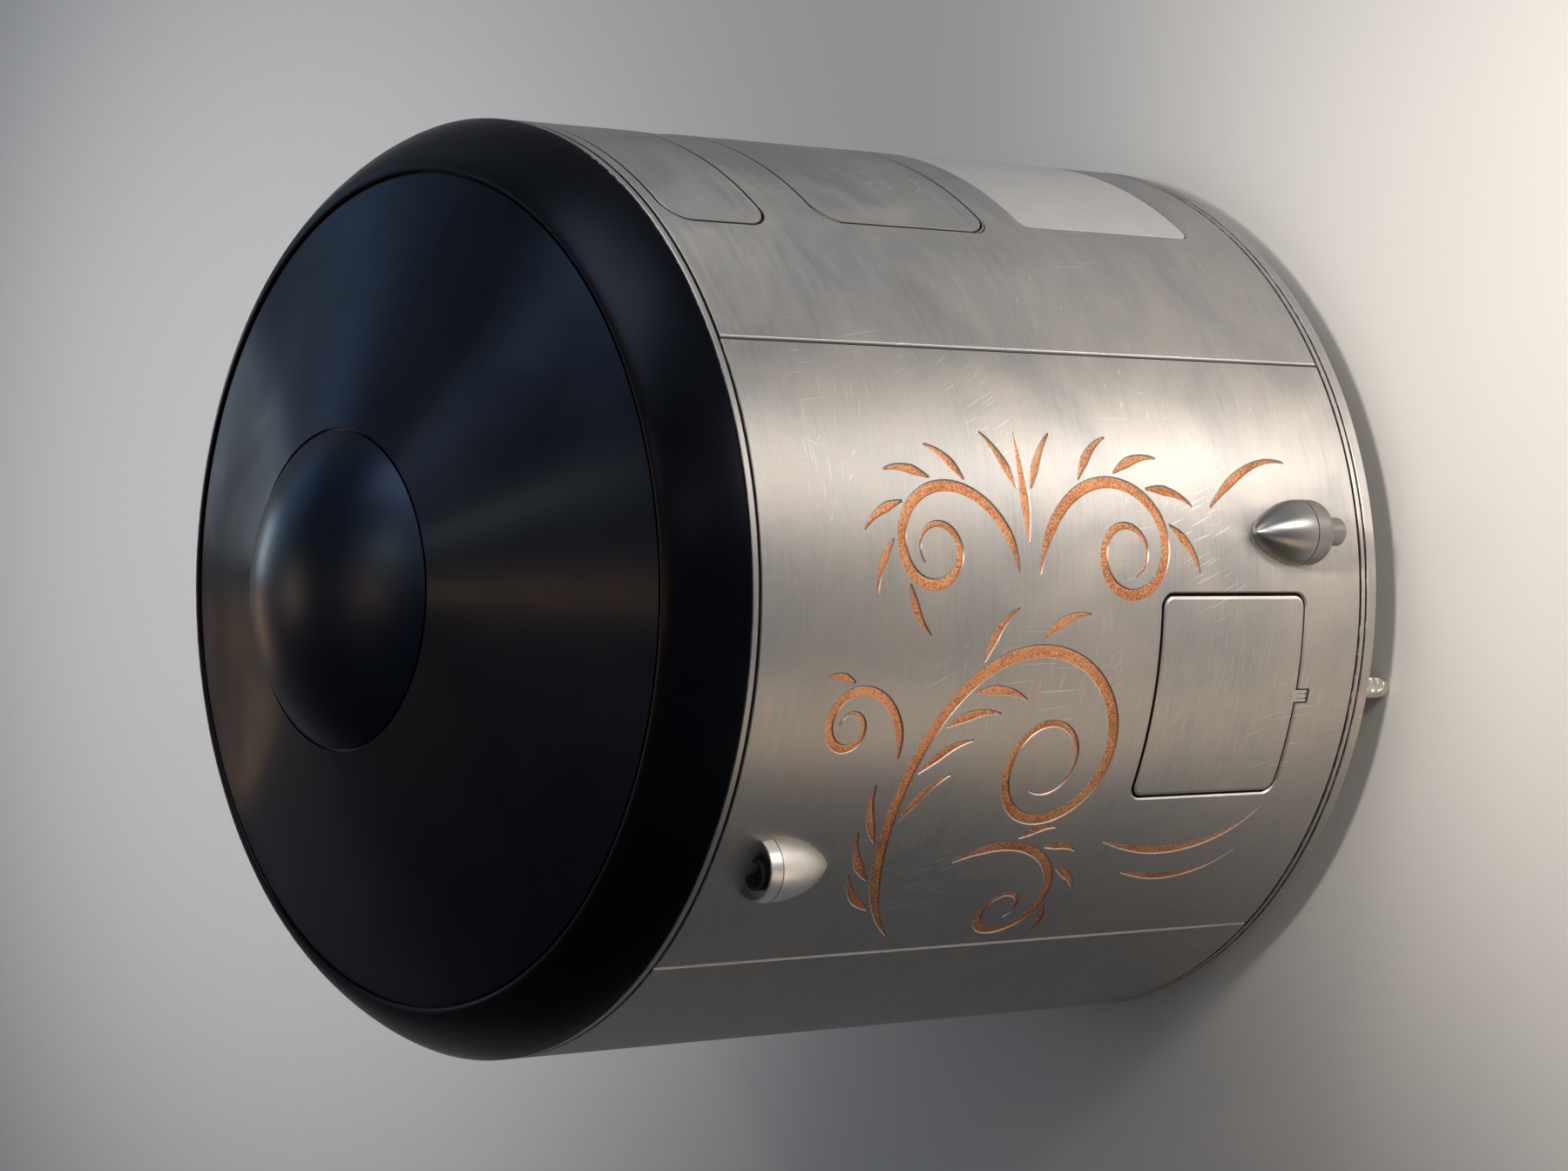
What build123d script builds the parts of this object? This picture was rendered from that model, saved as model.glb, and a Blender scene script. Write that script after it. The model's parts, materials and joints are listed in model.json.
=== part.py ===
from build123d import *
from math import cos, radians, sin, sqrt
import os

os.makedirs("parts", exist_ok=True)

# Frame: millimetres, +Z towards the nose, origin on the floor under the hull's axis.
# Clock angles are counted from port (-Y), positive towards the hull's top (+X).

# Hull
hull_r = 1800.0
wall = 50.0
barrel_len = 3165.0
stud_len = 198.0
aft_z = stud_len
front_z = aft_z + barrel_len
hull_in_r = hull_r - wall

# Bands and grooves at the two ends of the barrel
rim_band = 50.0
rim_groove = 12.0
aft_band = 19.0
band_groove = 14.0
front_band = 25.0
groove_depth = 14.0
edge_break = 2.5
flange_depth = 120.0
panel_low_z = aft_z + rim_band + rim_groove + aft_band + band_groove
panel_high_z = front_z - 2 * band_groove - front_band
flange_in_r = hull_in_r - flange_depth
groove_r = hull_r - groove_depth

# Skin panels: name, first and last clock angle
upper_seam = 43.2
lower_seam = 35.9
panels = [
    ("port_panel", -lower_seam, upper_seam),
    ("top_panel", upper_seam, 180.0 - upper_seam),
    ("starboard_panel", 180.0 - upper_seam, 180.0 + lower_seam),
    ("belly_panel", 180.0 + lower_seam, 360.0 - lower_seam),
]
seam_break = 5.0

# Nose: shoulder, cone and central dome
shoulder_width = 220.0
shoulder_rise = 228.0
cone_rise = 330.0
dome_r = 603.0
dome_rise = 232.0
shoulder_lean = 20.0
shoulder_flank = 115.0
shoulder_crest = 54.0
crest_angle = 60.0
seam_half = 5.0
seam_depth = 14.0
cone_wall = 90.0
cone_foot = 100.0
bulkhead_t = 40.0
bulkhead_drop = 20.0
cone_r = hull_r - shoulder_width
cone_z = front_z + shoulder_rise
cone_slope = cone_rise / (cone_r - dome_r)
dome_z = cone_z + cone_rise

# Aft bulkhead with its ribs and hub
bulkhead_inset = 90.0
rib_count = 12
rib_t = 24.0
rib_h = 55.0
rib_gap = 60.0
hub_r = 330.0
hub_h = 70.0
hub_ring = 60.0
hub_plate = 25.0
bulkhead_z = aft_z + bulkhead_inset

# The flanges behind the skin end flush with the two bulkheads
aft_flange_top = bulkhead_z + bulkhead_t
front_flange_low = front_z - bulkhead_drop - bulkhead_t

# Hatch opening, door and coaming
hatch_inset = 398.0
hatch_h = 779.0
hatch_w = 810.0
hatch_corner = 58.0
hatch_gap = 12.0
hatch_bevel = 8.0
coaming_width = 45.0
coaming_depth = 45.0
hatch_low = aft_z + hatch_inset
hatch_high = hatch_low + hatch_h
hatch_mid_z = hatch_low + hatch_h / 2
door_top = hatch_high - hatch_gap
door_low = hatch_low + hatch_gap

# Hatch hinge: a pin behind the skin, forward of the door, and two gooseneck arms
hinge_setback = 220.0
hinge_depth = 78.0
pin_r = 10.0
pin_play = 0.08
pin_overhang = 8.0
eye_r = 18.0
arm_x = 120.0
arm_t = 20.0
arm_reach = 247.0
arm_half = 14.0
arm_start_angle = 165.0
arm_end_angle = 303.0
arm_foot_len = 70.0
arm_foot_w = 52.0
arm_foot_t = 14.0
foot_inset = 4.0
cheek_t = 12.0
cheek_gap = 5.0
cheek_half = 24.0
hinge_y = -(hull_r - hinge_depth)
hinge_z = door_top + hinge_setback
cheek_x = arm_t / 2 + cheek_gap + cheek_t / 2

# Latch block in its notch at the door's aft edge
latch_w = 48.0
latch_reach = 50.0
latch_overlap = 16.0
latch_t = 34.0
latch_clear = 5.5
latch_end_clear = 11.0
latch_back_clear = 8.0
latch_sink = 1.0
latch_groove_x = 9.0
latch_groove_w = 5.0
latch_groove_d = 8.0
notch_w = latch_w + 2 * latch_clear
notch_len = latch_reach + latch_end_clear
notch_depth = latch_t + latch_back_clear

# Ring frames inside the barrel: below and above the hatch, and two near the front
frame_t = 36.0
frame_depth = 85.0
low_frame_drop = 85.0
high_frame_lift = 466.0
front_frame_inset = 392.0
frame_pitch = 540.0
frames = [
    hatch_low - low_frame_drop,
    hatch_high + high_frame_lift,
    front_z - front_frame_inset - frame_pitch,
    front_z - front_frame_inset,
]

# Flush covers on the top panel: the main cover fills the space between the other two
cover_t = 20.0
radiator_inset = 356.0
radiator_len = 910.0
radiator_space = 210.0
forward_cover_inset = 111.0
forward_cover_len = 462.0
forward_cover_space = 281.0
radiator_low = aft_z + radiator_inset
radiator_high = radiator_low + radiator_len
forward_cover_high = front_z - forward_cover_inset
forward_cover_low = forward_cover_high - forward_cover_len
main_cover_low = radiator_high + radiator_space
main_cover_high = forward_cover_low - forward_cover_space

# Name, low and high edge, width, corner radius, gap
covers = [
    ("forward_cover", forward_cover_low, forward_cover_high, 1690.0, 95.0, 10.0),
    ("main_cover", main_cover_low, main_cover_high, 1595.0, 110.0, 10.0),
    ("radiator_panel", radiator_low, radiator_high, 1481.0, 45.0, 3.0),
]

# Thruster pods: half sunk bullets whose nozzles look along the hull
pod_tip_r = 4.0
pod_neck = 5.0
pod_neck_depth = 8.0
nozzle_wall = 10.0
aft_pod_angle = 20.4
fwd_pod_angle = -20.1
aft_pod_inset = 709.0
fwd_pod_inset = 585.0
aft_pod_tip = aft_z + aft_pod_inset
fwd_pod_tip = front_z - fwd_pod_inset

# The aft pods' nozzle is a close fit in the collar, the forward pods' collar is an open cowl
aft_pod_r = 128.5
aft_nozzle_r = 56.0
aft_nozzle_lift = 28.0
cowl_end_r = 118.0
cowl_lip = 8.0

# Shell: radius, length, width and length of the brow, height of its axis over the skin
# Collar: length, radius and rounding of its end
# Mouth: radius, depth, lift over the shell's axis
# Nozzle: radius, reach beyond the collar, lift over the shell's axis, rounding of its rim
aft_pod = (
    (aft_pod_r, 220.0, 39.0, 129.0, 39.0),
    (112.0, aft_pod_r, 48.0),
    (aft_nozzle_r, 10.0, aft_nozzle_lift),
    (aft_nozzle_r, 92.0, aft_nozzle_lift, 6.0),
)
fwd_pod = (
    (126.0, 294.0, 5.0, 84.0, 0.0),
    (51.0, cowl_end_r, 3.0),
    (cowl_end_r - cowl_lip, 38.0, 0.0),
    (57.0, 12.0, 34.0, 3.0),
)

# Number, clock angle, height of the tip, the tip's side along Z, sizes
pods = [
    (1, aft_pod_angle, aft_pod_tip, 1, aft_pod),
    (2, fwd_pod_angle, fwd_pod_tip, -1, fwd_pod),
    (3, 180.0 - aft_pod_angle, aft_pod_tip, 1, aft_pod),
    (4, 180.0 - fwd_pod_angle, fwd_pod_tip, -1, fwd_pod),
]

# Studs on the aft rim
stud_angles = [0.0, 120.0, 240.0]
quarter_turn = 90.0
stud_inset = 99.0
stud_circle_r = hull_r - stud_inset
stud_r = 45.0
stud_base_r = 60.0
stud_base_h = 30.0
stud_lip = 6.0
stud_cap_h = 36.0
stud_foot_r = 12.0
stud_dome_h = 14.0
stud_dome_r = 36.0


def cone_top(r):
    """Height of the nose cone's outer surface at radius r."""
    return cone_z + (cone_r - r) * cone_slope


def around(clock, r, z):
    """The point at a clock angle, a radius and a height."""
    a = radians(clock)
    return Vector(r * sin(a), -r * cos(a), z)


def meridian(clock):
    """The half plane through the axis at a clock angle: local X outwards, local Y up."""
    a = radians(clock)
    return Plane(origin=(0, 0, 0), x_dir=(sin(a), -cos(a), 0), z_dir=(-cos(a), -sin(a), 0))


def skin_patch(side, width, low, high, corner, inner_r, outer_r):
    """A rounded rectangle seen from one side, cut out of the tube between two radii."""
    with BuildPart() as patch:
        with BuildSketch(side.offset(hull_r / 2)):
            with Locations((0, (low + high) / 2)):
                RectangleRounded(width, high - low, corner)
        extrude(amount=hull_r)
        with Locations((0, 0, low - wall)):
            upright = (Align.CENTER, Align.CENTER, Align.MIN)
            Cylinder(outer_r, high - low + 2 * wall, align=upright, mode=Mode.INTERSECT)
            Cylinder(inner_r, high - low + 2 * wall, align=upright, mode=Mode.SUBTRACT)
    return patch.part


def save(builder, name):
    """Label a finished piece and write its STEP file."""
    builder.part.label = name
    export_step(builder.part, f"parts/{name}.step")


# Nose shoulder, a rounded ring between the barrel and the cone
with BuildPart() as nose_shoulder:
    with BuildSketch(Plane.XZ):
        with BuildLine():
            Polyline(
                (cone_r + seam_half, cone_top(cone_r)),
                (cone_r + seam_half, cone_z - seam_depth),
                (cone_r, cone_z - seam_depth),
                (cone_r, front_z),
                (hull_r, front_z),
            )
            flank = Vector(-sin(radians(shoulder_lean)), cos(radians(shoulder_lean))) * shoulder_flank
            crest = Vector(cos(radians(crest_angle)), sin(radians(crest_angle))) * shoulder_crest
            shoulder_foot = Vector(hull_r, front_z)
            shoulder_lip = Vector(cone_r + seam_half, cone_top(cone_r))
            Bezier(shoulder_foot, shoulder_foot + flank, shoulder_lip + crest, shoulder_lip)
        make_face()
    revolve(axis=Axis.Z)
save(nose_shoulder, "nose_shoulder")

# Nose cone, a thick shell with a foot that stands on the forward flange
with BuildPart() as nose_cone:
    with BuildSketch(Plane.XZ):
        with BuildLine():
            Polyline(
                (cone_r - seam_half, cone_top(cone_r - seam_half)),
                (dome_r + seam_half, cone_top(dome_r + seam_half)),
                (dome_r + seam_half, dome_z - seam_depth),
                (dome_r, dome_z - seam_depth),
                (dome_r, dome_z - cone_wall),
                (cone_r - cone_foot, cone_top(cone_r - cone_foot) - cone_wall),
                (cone_r - cone_foot, front_z),
                (cone_r, front_z),
                (cone_r, cone_z - seam_depth),
                (cone_r - seam_half, cone_z - seam_depth),
                close=True,
            )
        make_face()
    revolve(axis=Axis.Z)
save(nose_cone, "nose_cone")

# Nose dome, a solid cap of a sphere set into the cone's middle
with BuildPart() as nose_dome:
    with BuildSketch(Plane.XZ):
        with BuildLine():
            lip_r = dome_r - seam_half
            Polyline(
                (0, dome_z + dome_rise),
                (0, dome_z - cone_wall),
                (dome_r, dome_z - cone_wall),
                (dome_r, dome_z - seam_depth),
                (lip_r, dome_z - seam_depth),
                (lip_r, dome_z),
            )
            sphere_r = (lip_r**2 + dome_rise**2) / (2 * dome_rise)
            RadiusArc((lip_r, dome_z), (0, dome_z + dome_rise), -sphere_r)
        make_face()
    revolve(axis=Axis.Z)
save(nose_dome, "nose_dome")

# Forward bulkhead, the cabin's ceiling
with BuildPart() as forward_bulkhead:
    with BuildSketch(Plane.XY.offset(front_z - bulkhead_drop)):
        Circle(flange_in_r)
    extrude(amount=-bulkhead_t)
save(forward_bulkhead, "forward_bulkhead")

# Front ring: a bright band between two grooves, with the flange behind the skin
with BuildPart() as front_ring:
    with BuildSketch(Plane.XZ):
        with BuildLine():
            band_low = panel_high_z + band_groove
            band_high = band_low + front_band
            Polyline(
                (flange_in_r, front_z),
                (groove_r, front_z),
                (groove_r, band_high),
                (hull_r - edge_break, band_high),
                (hull_r, band_high - edge_break),
                (hull_r, band_low + edge_break),
                (hull_r - edge_break, band_low),
                (groove_r, band_low),
                (groove_r, panel_high_z),
                (hull_in_r, panel_high_z),
                (hull_in_r, front_flange_low),
                (flange_in_r, front_flange_low),
                close=True,
            )
        make_face()
    revolve(axis=Axis.Z)
save(front_ring, "front_ring")

# Aft ring: the rim band, a groove, a narrow band and a second groove
with BuildPart() as aft_ring:
    with BuildSketch(Plane.XZ):
        with BuildLine():
            rim_top = aft_z + rim_band
            narrow_low = rim_top + rim_groove
            narrow_high = narrow_low + aft_band
            Polyline(
                (flange_in_r, aft_z),
                (hull_r - edge_break, aft_z),
                (hull_r, aft_z + edge_break),
                (hull_r, rim_top - edge_break),
                (hull_r - edge_break, rim_top),
                (groove_r, rim_top),
                (groove_r, narrow_low),
                (hull_r - edge_break, narrow_low),
                (hull_r, narrow_low + edge_break),
                (hull_r, narrow_high - edge_break),
                (hull_r - edge_break, narrow_high),
                (groove_r, narrow_high),
                (groove_r, panel_low_z),
                (hull_in_r, panel_low_z),
                (hull_in_r, aft_flange_top),
                (flange_in_r, aft_flange_top),
                close=True,
            )
        make_face()
    revolve(axis=Axis.Z)
save(aft_ring, "aft_ring")

# Aft bulkhead, the cabin's floor
with BuildPart() as aft_bulkhead:
    with BuildSketch(Plane.XY.offset(bulkhead_z)):
        Circle(flange_in_r)
    extrude(amount=bulkhead_t)
save(aft_bulkhead, "aft_bulkhead")

# Radial ribs on the outside of the aft bulkhead
with BuildPart() as aft_ribs:
    rib_len = flange_in_r - hub_r - 2 * rib_gap
    with BuildSketch(Plane.XY.offset(bulkhead_z)):
        with PolarLocations(hub_r + rib_gap + rib_len / 2, rib_count):
            Rectangle(rib_len, rib_t)
    extrude(amount=-rib_h)
save(aft_ribs, "aft_ribs")

# Hub ring in the middle of the aft bulkhead
with BuildPart() as aft_hub:
    with BuildSketch(Plane.XY.offset(bulkhead_z)):
        Circle(hub_r)
    extrude(amount=-hub_h)
    with BuildSketch(Plane.XY.offset(bulkhead_z - hub_plate)):
        Circle(hub_r - hub_ring)
    extrude(amount=-hub_h, mode=Mode.SUBTRACT)
    chamfer(aft_hub.edges().group_by(Axis.Z)[0], 2 * edge_break)
save(aft_hub, "aft_hub")

# Ring frames that carry the skin panels
for number, frame_z in enumerate(frames, 1):
    with BuildPart() as ring_frame:
        with BuildSketch(Plane.XY.offset(frame_z)):
            Circle(hull_in_r)
            Circle(hull_in_r - frame_depth, mode=Mode.SUBTRACT)
        extrude(amount=frame_t)
    save(ring_frame, f"ring_frame_{number}")

# Skin panels, each a sector of the barrel as thick as the whole wall
cover_recesses = []
for name, low, high, width, corner, gap in covers:
    recess = skin_patch(
        Plane.YZ,
        width + 2 * gap,
        low - gap,
        high + gap,
        corner + gap,
        hull_r - cover_t,
        hull_r + wall,
    )
    cover_recesses.append(recess)

for name, first, last in panels:
    with BuildPart() as panel:
        with BuildSketch(meridian(first)):
            with BuildLine():
                Polyline(
                    (hull_in_r, panel_low_z),
                    (hull_r - edge_break, panel_low_z),
                    (hull_r, panel_low_z + edge_break),
                    (hull_r, panel_high_z - edge_break),
                    (hull_r - edge_break, panel_high_z),
                    (hull_in_r, panel_high_z),
                    close=True,
                )
            make_face()
        revolve(axis=Axis.Z, revolution_arc=last - first)

        # The two long seams are V grooves, half in each panel
        for clock in (first, last):
            seam = Plane(around(clock, hull_r, panel_low_z), x_dir=around(clock, 1, 0), z_dir=(0, 0, 1))
            with BuildSketch(seam):
                Rectangle(seam_break * sqrt(2), seam_break * sqrt(2), rotation=45)
            extrude(amount=panel_high_z - panel_low_z, mode=Mode.SUBTRACT)

        if name == "port_panel":
            with BuildSketch(Plane.XZ.offset(hull_r / 2)):
                with Locations((0, hatch_mid_z)):
                    RectangleRounded(hatch_w, hatch_h, hatch_corner)
            extrude(amount=hull_r, mode=Mode.SUBTRACT)
            with BuildSketch(Plane.XZ.offset(hull_r - notch_depth)):
                with Locations((0, hatch_low)):
                    Rectangle(notch_w, 2 * notch_len)
            extrude(amount=hull_r, mode=Mode.SUBTRACT)

        if name == "top_panel":
            for recess in cover_recesses:
                add(recess, mode=Mode.SUBTRACT)
    save(panel, name)

# Flush covers and the radiator on the top panel
for name, low, high, width, corner, gap in covers:
    with BuildPart() as cover:
        add(skin_patch(Plane.YZ, width, low, high, corner, hull_r - cover_t, hull_r))
    save(cover, name)

# Hatch coaming, a rim inside the wall around the opening
with BuildPart() as hatch_coaming:
    add(
        skin_patch(
            Plane.XZ,
            hatch_w + 2 * coaming_width,
            hatch_low - coaming_width,
            hatch_high + coaming_width,
            hatch_corner + coaming_width,
            hull_in_r - coaming_depth,
            hull_in_r,
        )
    )
    with BuildSketch(Plane.XZ.offset(hull_r / 2)):
        with Locations((0, hatch_mid_z)):
            RectangleRounded(hatch_w, hatch_h, hatch_corner)
    extrude(amount=hull_r, mode=Mode.SUBTRACT)
save(hatch_coaming, "hatch_coaming")

# Hatch door, a piece of the wall with a bevelled forward edge that lets it swing
with BuildPart() as hatch_door:
    door_w = hatch_w - 2 * hatch_gap
    add(skin_patch(Plane.XZ, door_w, door_low, door_top, hatch_corner - hatch_gap, hull_in_r, hull_r))
    with BuildSketch(Plane.XZ):
        with BuildLine():
            Polyline(
                (hull_r, door_top),
                (hull_in_r, door_top - hatch_bevel),
                (hull_in_r, door_top + wall),
                (hull_r, door_top + wall),
                close=True,
            )
        make_face()
    revolve(axis=Axis.Z, mode=Mode.SUBTRACT)
    with BuildSketch(Plane.XZ.offset(hull_r - latch_t)):
        with Locations((0, door_low)):
            Rectangle(latch_w, 2 * latch_overlap)
    extrude(amount=hull_r, mode=Mode.SUBTRACT)
save(hatch_door, "hatch_door")

# Hatch latch, a ribbed block that reaches from the door into the notch
with BuildPart() as hatch_latch:
    with BuildSketch(Plane.XZ.offset(hull_r - latch_t)):
        with Locations((0, door_low + latch_overlap)):
            Rectangle(
                latch_w,
                latch_overlap + hatch_gap + latch_reach,
                align=(Align.CENTER, Align.MAX),
            )
    extrude(amount=wall)
    with Locations((0, 0, hatch_low)):
        Cylinder(hull_r - latch_sink, hatch_h, mode=Mode.INTERSECT)
    with BuildSketch(Plane.XZ.offset(hull_r - latch_groove_d)):
        with Locations((-latch_groove_x, hatch_low), (latch_groove_x, hatch_low)):
            Rectangle(latch_groove_w, 4 * latch_reach, align=(Align.CENTER, Align.MAX))
    extrude(amount=wall, mode=Mode.SUBTRACT)
save(hatch_latch, "hatch_latch")

# Gooseneck arms: a foot under the door, an arc round the opening's edge and a bar to the eye
for number, x in enumerate((-arm_x, arm_x), 1):
    with BuildPart() as hinge_arm:
        arm_plane = Plane(origin=(x - arm_t / 2, hinge_y, hinge_z), x_dir=(0, 0, 1), z_dir=(1, 0, 0))
        with BuildSketch(arm_plane):
            with BuildLine():
                sweep = arm_end_angle - arm_start_angle
                outer = CenterArc((0, 0), arm_reach + arm_half, arm_start_angle, sweep)
                inner = CenterArc((0, 0), arm_reach - arm_half, arm_start_angle, sweep)
                Line(outer @ 0, inner @ 0)
                Line(outer @ 1, inner @ 1)
            make_face()
            end = radians(arm_end_angle)
            with Locations((arm_reach * cos(end), arm_reach * sin(end))):
                Circle(arm_half)
            Rectangle(arm_reach, 2 * arm_half, align=(Align.MIN, Align.CENTER), rotation=arm_end_angle)
            Circle(eye_r)
        extrude(amount=arm_t)
        foot_plane = Plane(origin=(x, -(hull_in_r - arm_foot_t), hinge_z), x_dir=(1, 0, 0), z_dir=(0, -1, 0))
        with BuildSketch(foot_plane):
            with Locations((0, -(hinge_setback + hatch_bevel + foot_inset))):
                Rectangle(arm_foot_w, arm_foot_len, align=(Align.CENTER, Align.MAX))
        extrude(amount=wall)
        with Locations((0, 0, hinge_z)):
            Cylinder(hull_in_r, 4 * arm_reach, mode=Mode.INTERSECT)
        with BuildSketch(arm_plane):
            Circle(pin_r + pin_play)
        extrude(amount=arm_t, mode=Mode.SUBTRACT)
    save(hinge_arm, f"hinge_arm_{number}")

# Hinge brackets: two cheeks beside each arm, hung from the skin
for number, x in enumerate((-arm_x, arm_x), 1):
    with BuildPart() as hinge_bracket:
        for offset in (-cheek_x, cheek_x):
            cheek_plane = Plane(
                origin=(x + offset - cheek_t / 2, hinge_y, hinge_z), x_dir=(0, 0, 1), z_dir=(1, 0, 0)
            )
            with BuildSketch(cheek_plane):
                Circle(cheek_half)
                Rectangle(2 * cheek_half, wall, align=(Align.CENTER, Align.MIN))
                Circle(pin_r, mode=Mode.SUBTRACT)
            extrude(amount=cheek_t)
        with Locations((0, 0, hinge_z)):
            Cylinder(hull_in_r, 4 * cheek_half, mode=Mode.INTERSECT)
    save(hinge_bracket, f"hinge_bracket_{number}")

# Hinge pin through both brackets
with BuildPart() as hinge_pin:
    pin_half = arm_x + cheek_x + cheek_t / 2 + pin_overhang
    with BuildSketch(Plane(origin=(-pin_half, hinge_y, hinge_z), x_dir=(0, 0, 1), z_dir=(1, 0, 0))):
        Circle(pin_r)
    extrude(amount=2 * pin_half)
save(hinge_pin, "hinge_pin")

# Thruster pods: bullet shell, collar and nozzle
for number, clock, tip, side, (shell, collar, mouth, nozzle) in pods:
    pod_r, pod_bullet, pod_brow_r, pod_brow_len, pod_proud = shell
    pod_collar, collar_end_r, end_round = collar
    mouth_r, mouth_depth, mouth_lift = mouth
    nozzle_r, nozzle_out, nozzle_lift, nozzle_round = nozzle
    tip_point = around(clock, hull_r + pod_proud, tip)
    nozzle_point = around(clock, hull_r + pod_proud + nozzle_lift, tip)
    back = Vector(0, 0, -side)
    outward = around(clock, 1, 0)
    pod_plane = Plane(origin=tip_point, x_dir=outward, z_dir=outward.cross(back))
    nozzle_plane = Plane(origin=nozzle_point, x_dir=outward, z_dir=outward.cross(back))
    pod_end = pod_bullet + pod_collar

    with BuildPart() as pod_shell:
        with BuildSketch(pod_plane):
            with BuildLine():
                Bezier((pod_tip_r, 0), (pod_brow_r, 0), (pod_r, pod_brow_len), (pod_r, pod_bullet))
                Polyline((pod_r, pod_bullet), (0, pod_bullet), (0, 0), (pod_tip_r, 0))
            make_face()
        revolve(axis=Axis(tip_point, back))
        with Locations((0, 0, tip)):
            Cylinder(hull_r, 4 * pod_end, mode=Mode.SUBTRACT)
    save(pod_shell, f"pod_shell_{number}")

    with BuildPart() as pod_collar_ring:
        with BuildSketch(pod_plane) as collar_profile:
            neck_r = pod_r - pod_neck_depth
            with BuildLine():
                Polyline(
                    (0, pod_bullet),
                    (neck_r, pod_bullet),
                    (neck_r, pod_bullet + pod_neck),
                    (pod_r, pod_bullet + pod_neck),
                    (collar_end_r, pod_end),
                    (0, pod_end),
                    close=True,
                )
            make_face()
            fillet(collar_profile.vertices().sort_by_distance((collar_end_r, pod_end))[0], end_round)
        revolve(axis=Axis(tip_point, back))
        mouth_point = tip_point + outward * mouth_lift + back * pod_end
        with BuildSketch(Plane(origin=mouth_point, x_dir=outward, z_dir=-back)):
            Circle(mouth_r)
        extrude(amount=mouth_depth, mode=Mode.SUBTRACT)
        with Locations((0, 0, tip)):
            Cylinder(hull_r, 4 * pod_end, mode=Mode.SUBTRACT)
    save(pod_collar_ring, f"pod_collar_{number}")

    with BuildPart() as pod_nozzle:
        with BuildSketch(nozzle_plane) as nozzle_profile:
            throat_r = nozzle_r - 2 * nozzle_wall
            base = pod_end - mouth_depth
            nozzle_end = pod_end + nozzle_out
            with BuildLine():
                Polyline(
                    (0, base),
                    (nozzle_r, base),
                    (nozzle_r, nozzle_end),
                    (nozzle_r - nozzle_wall, nozzle_end),
                    (throat_r, base + nozzle_wall),
                    (0, base + nozzle_wall),
                    close=True,
                )
            make_face()
            fillet(nozzle_profile.vertices().sort_by_distance((nozzle_r, nozzle_end))[0], nozzle_round)
        revolve(axis=Axis(nozzle_point, back))
        with Locations((0, 0, tip)):
            Cylinder(hull_r, 4 * pod_end, mode=Mode.SUBTRACT)
    save(pod_nozzle, f"pod_nozzle_{number}")

# Studs: a flared base on the rim, a round shank and a domed cap that stands on the floor
for number, clock in enumerate(stud_angles, 1):
    with BuildPart() as stud:
        root = around(clock, stud_circle_r, aft_z)
        with BuildSketch(Plane(origin=root, x_dir=(1, 0, 0), z_dir=(0, -1, 0))):
            with BuildLine():
                Polyline((0, 0), (stud_base_r, 0), (stud_base_r, -stud_lip))
                flare_centre = (stud_base_r, -stud_base_h)
                flare_w = stud_base_r - stud_r
                flare_h = stud_base_h - stud_lip
                EllipticalCenterArc(flare_centre, flare_w, flare_h, quarter_turn, arc_size=quarter_turn)
                Line((stud_r, -stud_base_h), (stud_r, stud_cap_h - stud_len))
                Bezier(
                    (stud_r, stud_cap_h - stud_len),
                    (stud_r, stud_dome_h - stud_len),
                    (stud_dome_r, -stud_len),
                    (stud_foot_r, -stud_len),
                )
                Polyline((stud_foot_r, -stud_len), (0, -stud_len), (0, 0))
            make_face()
        revolve(axis=Axis(root, (0, 0, 1)))
    save(stud, f"stud_{number}")
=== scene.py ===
import bpy
import bmesh
import json
import numpy as np
from math import pi, radians, degrees
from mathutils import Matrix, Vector


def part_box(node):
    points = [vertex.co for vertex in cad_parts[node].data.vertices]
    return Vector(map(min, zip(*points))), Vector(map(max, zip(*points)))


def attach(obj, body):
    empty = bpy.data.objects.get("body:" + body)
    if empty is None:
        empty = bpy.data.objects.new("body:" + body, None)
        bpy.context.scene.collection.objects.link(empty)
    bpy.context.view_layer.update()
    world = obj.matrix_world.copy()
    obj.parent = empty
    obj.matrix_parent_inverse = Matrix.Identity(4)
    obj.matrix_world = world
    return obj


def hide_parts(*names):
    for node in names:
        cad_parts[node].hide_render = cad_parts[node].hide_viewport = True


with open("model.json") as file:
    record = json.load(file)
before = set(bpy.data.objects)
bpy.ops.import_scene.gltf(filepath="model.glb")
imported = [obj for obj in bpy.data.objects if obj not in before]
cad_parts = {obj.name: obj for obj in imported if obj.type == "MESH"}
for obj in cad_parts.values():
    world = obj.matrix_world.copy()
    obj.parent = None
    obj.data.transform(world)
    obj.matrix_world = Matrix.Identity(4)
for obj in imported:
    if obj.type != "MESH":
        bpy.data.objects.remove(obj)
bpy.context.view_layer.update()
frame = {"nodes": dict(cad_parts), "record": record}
scene = bpy.context.scene

# Sizes in metres. The first three are taken from the frame
hull_r = -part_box("port_panel")[0].y
aft_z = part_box("aft_ring")[0].z
front_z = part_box("front_ring")[1].z
hull_wall = 0.050

# Plates let into the skin: the piece, the panel round it, the axis it faces, the gap beside it, its
# corner radius, the width and depth of the bevel on its own edge, and the bevel on the opening's edge
flush_plates = [
    ("hatch_door", "port_panel", 1, 0.012, 0.046, 0.010, 0.0033, 0.007),
    ("main_cover", "top_panel", 0, 0.010, 0.085, 0.004, 0.0022, 0.003),
    ("forward_cover", "top_panel", 0, 0.010, 0.100, 0.004, 0.0022, 0.003),
    ("radiator_panel", "top_panel", 0, 0.003, 0.042, 0.003, 0.0020, 0.003),
]

# Cutters: how far they stand above the skin, the share of a gap that a bevel's cutter reaches into,
# and how far a seam's cutter runs past the panel's ends
cutter_rise = 0.004
gap_reach = 0.4
seam_overrun = 0.003

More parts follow.
